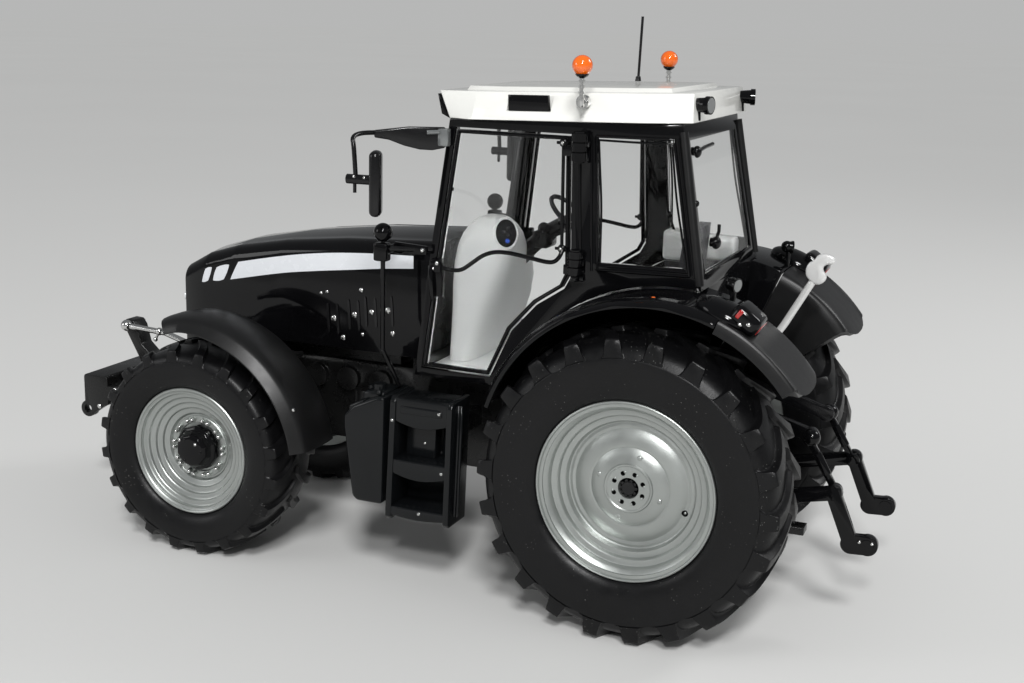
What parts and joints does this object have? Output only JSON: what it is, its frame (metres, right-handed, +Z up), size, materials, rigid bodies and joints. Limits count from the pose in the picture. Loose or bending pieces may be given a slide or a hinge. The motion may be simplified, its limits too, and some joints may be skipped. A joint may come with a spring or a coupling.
{
  "type": "scale model farm tractor",
  "caption": "Scale model farm tractor with cab, opening doors, steered front wheels, rolling lugged tyres, rear three-point lift and front linkage.",
  "frame": {"origin": "on the ground, under the middle of the whole length and width", "axes": "+X forwards, +Y to the tractor's left, +Z up"},
  "size_m": [0.1892, 0.0776, 0.1159],
  "materials": {
    "black_paint": "high gloss",
    "white_paint": "gloss",
    "silver_paint": "satin metallic",
    "chassis_paint": "semi-gloss",
    "trim_plastic": "satin",
    "black_plastic": "gloss",
    "interior_plastic": "satin",
    "seat_plastic": "matt",
    "tyre_rubber": "matt",
    "clear_glass": "clear",
    "lamp_lens": "clear",
    "amber_lens": "clear amber",
    "bright_metal": "bright"
  },
  "bodies": {
    "tractor": {"engine_gearbox": "chassis_paint", "rear_axle": "chassis_paint", "front_frame": "chassis_paint", "front_axle": "chassis_paint", "bonnet": "black_paint", "grille": "black_plastic", "headlamps": "lamp_lens", "cab_frame": "black_paint", "cab_floor": "interior_plastic", "console": "interior_plastic", "steering_wheel": "seat_plastic", "seat": "seat_plastic", "roof": "white_paint", "work_lamps": "black_plastic", "tail_lamps": "black_paint", "fender_extensions": "trim_plastic", "fuel_tanks": "trim_plastic", "steps": "trim_plastic", "exhaust": "black_plastic", "beacons": "amber_lens", "beacon_stems": "bright_metal", "antenna": "black_plastic", "mirrors": "black_plastic", "lamp_stalks": "black_plastic", "hitch": "chassis_paint", "pto_shaft": "bright_metal", "front_linkage": "chassis_paint", "front_top_link": "bright_metal", "windscreen": "clear_glass", "side_windows": "clear_glass", "rear_window": "clear_glass", "rear_fender_left": "black_paint", "rear_fender_right": "black_paint"},
    "front_arms": {"front_arms": "chassis_paint"},
    "lift_arms": {"lift_arms": "chassis_paint"},
    "lift_rods": {"lift_rods": "chassis_paint"},
    "lower_links": {"lower_links": "chassis_paint"},
    "top_link": {"top_link": "bright_metal"},
    "tie_rod": {"tie_rod": "chassis_paint"},
    "door_left": {"door_frame_left": "black_paint", "door_glass_left": "clear_glass"},
    "steering_knuckle_left": {"knuckle_left": "chassis_paint", "front_fender_left": "trim_plastic"},
    "rear_wheel_left": {"rear_tyre_left": "tyre_rubber", "rear_rim_left": "silver_paint"},
    "front_wheel_left": {"front_tyre_left": "tyre_rubber", "front_rim_left": "silver_paint", "front_hub_left": "black_plastic"},
    "door_right": {"door_frame_right": "black_paint", "door_glass_right": "clear_glass"},
    "steering_knuckle_right": {"knuckle_right": "chassis_paint", "front_fender_right": "trim_plastic"},
    "rear_wheel_right": {"rear_tyre_right": "tyre_rubber", "rear_rim_right": "silver_paint"},
    "front_wheel_right": {"front_tyre_right": "tyre_rubber", "front_rim_right": "silver_paint", "front_hub_right": "black_plastic"}
  },
  "joints": [
    {"name": "rear_wheel_spin_left", "type": "hinge", "parent": "tractor", "child": "rear_wheel_left", "pos_m": [-0.051, 0.029, 0.03], "axis": [0, 1, 0], "continuous": true},
    {"name": "steering_left", "type": "hinge", "parent": "tractor", "child": "steering_knuckle_left", "pos_m": [0.047, 0.0206, 0.023], "axis": [0, 0, 1], "range_deg": [-20, 20]},
    {"name": "front_wheel_spin_left", "type": "hinge", "parent": "steering_knuckle_left", "child": "front_wheel_left", "pos_m": [0.047, 0.0276, 0.023], "axis": [0, 1, 0], "continuous": true},
    {"name": "door_swing_left", "type": "hinge", "parent": "tractor", "child": "door_left", "pos_m": [-0.036, 0.0261, 0.08], "axis": [0, 0, 1], "range_deg": [0, 60]},
    {"name": "rear_wheel_spin_right", "type": "hinge", "parent": "tractor", "child": "rear_wheel_right", "pos_m": [-0.051, -0.029, 0.03], "axis": [0, 1, 0], "continuous": true},
    {"name": "steering_right", "type": "hinge", "parent": "tractor", "child": "steering_knuckle_right", "pos_m": [0.047, -0.0206, 0.023], "axis": [0, 0, 1], "range_deg": [-20, 20]},
    {"name": "front_wheel_spin_right", "type": "hinge", "parent": "steering_knuckle_right", "child": "front_wheel_right", "pos_m": [0.047, -0.0276, 0.023], "axis": [0, 1, 0], "continuous": true},
    {"name": "door_swing_right", "type": "hinge", "parent": "tractor", "child": "door_right", "pos_m": [-0.036, -0.0261, 0.08], "axis": [0, 0, -1], "range_deg": [0, 60]},
    {"name": "tie_rod_slide", "type": "slide", "parent": "tractor", "child": "tie_rod", "axis": [0, -1, 0], "range_m": [-0.0028, 0.0028]},
    {"name": "rear_lift", "type": "hinge", "parent": "tractor", "child": "lift_arms", "pos_m": [-0.064, 0, 0.042], "axis": [0, 1, 0], "range_deg": [-8, 38]},
    {"name": "lower_link_swing", "type": "hinge", "parent": "tractor", "child": "lower_links", "pos_m": [-0.057, 0, 0.0215], "axis": [0, 1, 0], "range_deg": [-4.2, 19.2]},
    {"name": "lift_rod_swing", "type": "hinge", "parent": "lift_arms", "child": "lift_rods", "pos_m": [-0.0796, 0, 0.0374], "axis": [0, 1, 0], "range_deg": [-58.5, 12.6]},
    {"name": "top_link_swing", "type": "hinge", "parent": "tractor", "child": "top_link", "pos_m": [-0.0659, 0, 0.0486], "axis": [0, 1, 0], "range_deg": [-75, 15]},
    {"name": "front_arm_swing", "type": "hinge", "parent": "tractor", "child": "front_arms", "pos_m": [0.077, 0, 0.0255], "axis": [0, -1, 0], "range_deg": [-10, 25]}
  ],
  "couplings": [
    {"joint": "steering_right", "follows": "steering_left", "ratio": 1},
    {"joint": "tie_rod_slide", "follows": "steering_left", "m_per_rad": 0.00784},
    {"joint": "lower_link_swing", "follows": "rear_lift", "ratio": 0.5},
    {"joint": "lift_rod_swing", "follows": "rear_lift", "ratio": -1.53}
  ]
}
